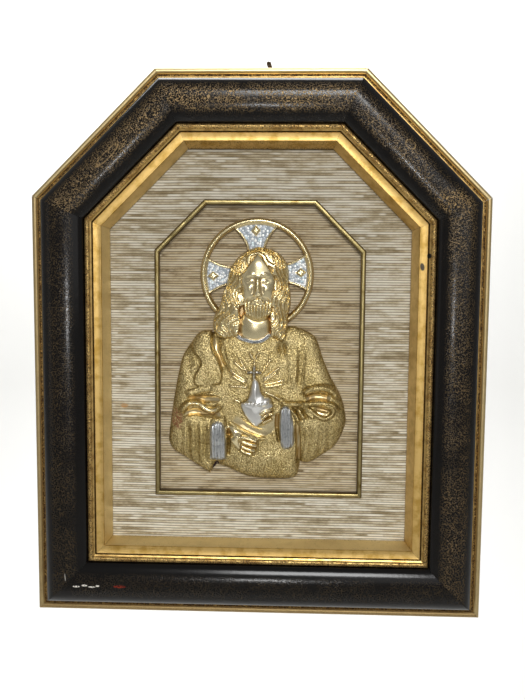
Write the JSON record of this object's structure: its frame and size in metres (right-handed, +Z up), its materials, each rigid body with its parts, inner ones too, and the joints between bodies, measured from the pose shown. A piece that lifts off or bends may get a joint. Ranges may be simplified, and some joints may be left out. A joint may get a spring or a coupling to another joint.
{
  "type": "icon panel",
  "caption": "Upright hung panel with cut upper corners: black and gold moulding, gilt slip, cloth-covered mat, brass-edged window and an embossed haloed bust.",
  "frame": {"origin": "middle of the back face of the top rail, where the panel meets the wall", "axes": "+Y into the wall, out of the back face; +Z up; +X to the right as seen from the front; the front faces -Y"},
  "size_m": [0.36, 0.04, 0.4413],
  "materials": {
    "black_and_gold_frame": "black crackled lacquer over gold, with gilt beads at both edges, on wooden moulding",
    "gilt_slip": "warm gold leaf on wood, satin, rubbed at its edges",
    "mat_grasscloth": "slub silk and straw grasscloth glued to board, threads running level, matt with glossy threads",
    "panel_grasscloth": "darker brown grasscloth glued to board; plain board behind",
    "brass_edging": "polished brass with dulled edges",
    "relief_gold": "pale gold plate, stippled cloth and polished skin, with silver-plated cuffs, heart, collar and halo arms",
    "dark_bronze": "dark oxidised bronze"
  },
  "bodies": {
    "root": {"rail_top": "black_and_gold_frame", "rail_upper_right": "black_and_gold_frame", "rail_right": "black_and_gold_frame", "rail_bottom": "black_and_gold_frame", "rail_left": "black_and_gold_frame", "rail_upper_left": "black_and_gold_frame", "liner_top": "gilt_slip", "liner_upper_right": "gilt_slip", "liner_right": "gilt_slip", "liner_bottom": "gilt_slip", "liner_left": "gilt_slip", "liner_upper_left": "gilt_slip", "fillet_top": "brass_edging", "fillet_upper_right": "brass_edging", "fillet_right": "brass_edging", "fillet_bottom": "brass_edging", "fillet_left": "brass_edging", "fillet_upper_left": "brass_edging", "mat": "mat_grasscloth", "inner_panel": "panel_grasscloth", "figure_relief": "relief_gold", "screw_eye": "dark_bronze"}
  },
  "joints": []
}
